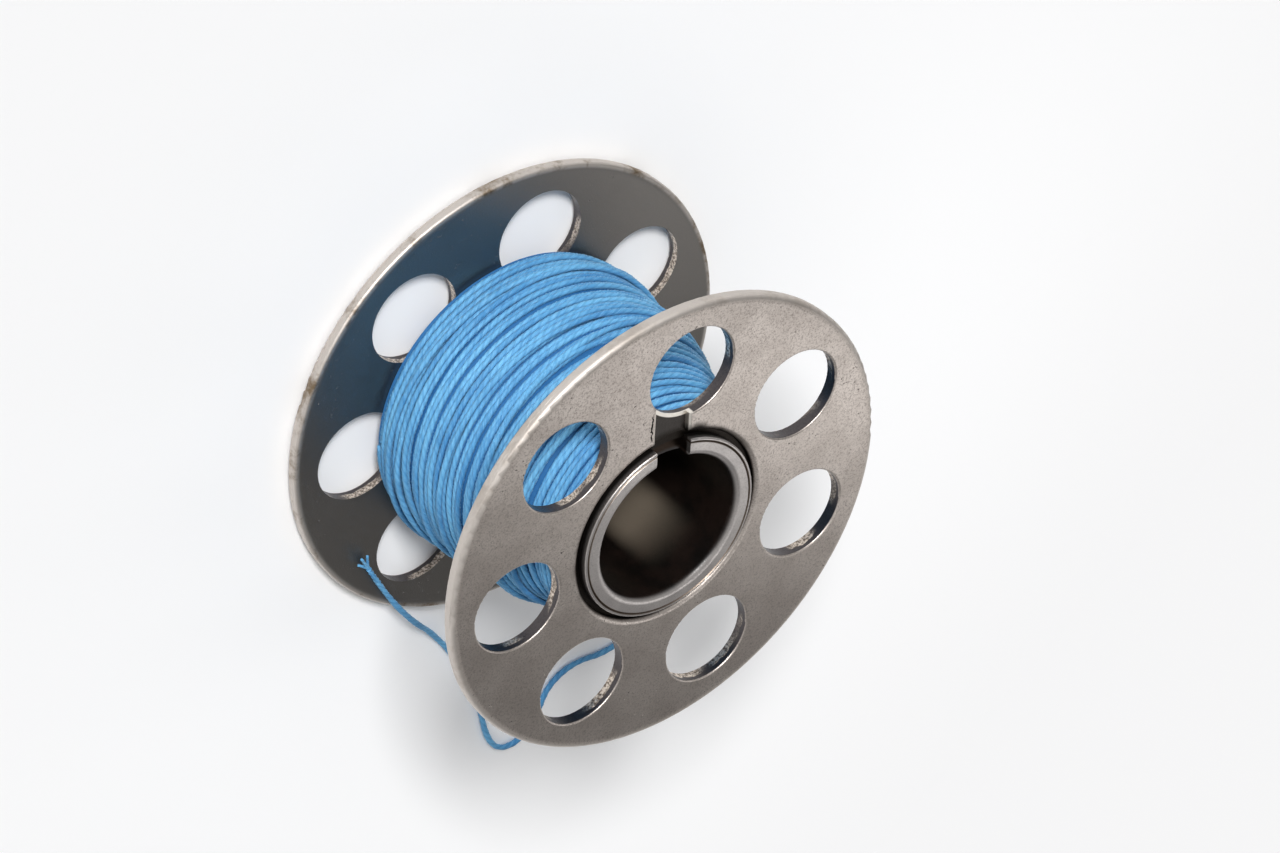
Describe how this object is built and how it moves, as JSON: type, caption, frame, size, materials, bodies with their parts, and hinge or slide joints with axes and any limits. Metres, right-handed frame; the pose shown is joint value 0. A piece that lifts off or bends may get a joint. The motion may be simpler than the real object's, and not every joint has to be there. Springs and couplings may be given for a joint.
{
  "type": "sewing machine bobbin",
  "caption": "Metal sewing machine bobbin: pierced sheet flanges held on a turned, bored core, wound with blue thread that has a loose end.",
  "frame": {"origin": "on the bore's axis, at the surface that the bobbin stands on", "axes": "+Z along the bore from the lower flange to the upper one, -Y towards the upper flange's key notch"},
  "size_m": [0.0206, 0.0302, 0.0114],
  "materials": {
    "plated_steel": "worn satin nickel plate",
    "blue_thread": "twisted sewing thread"
  },
  "bodies": {
    "root": {"upper_flange": "plated_steel", "lower_flange": "plated_steel", "core_tube": "plated_steel", "thread_winding": "blue_thread", "thread_tail": "blue_thread"}
  },
  "joints": []
}
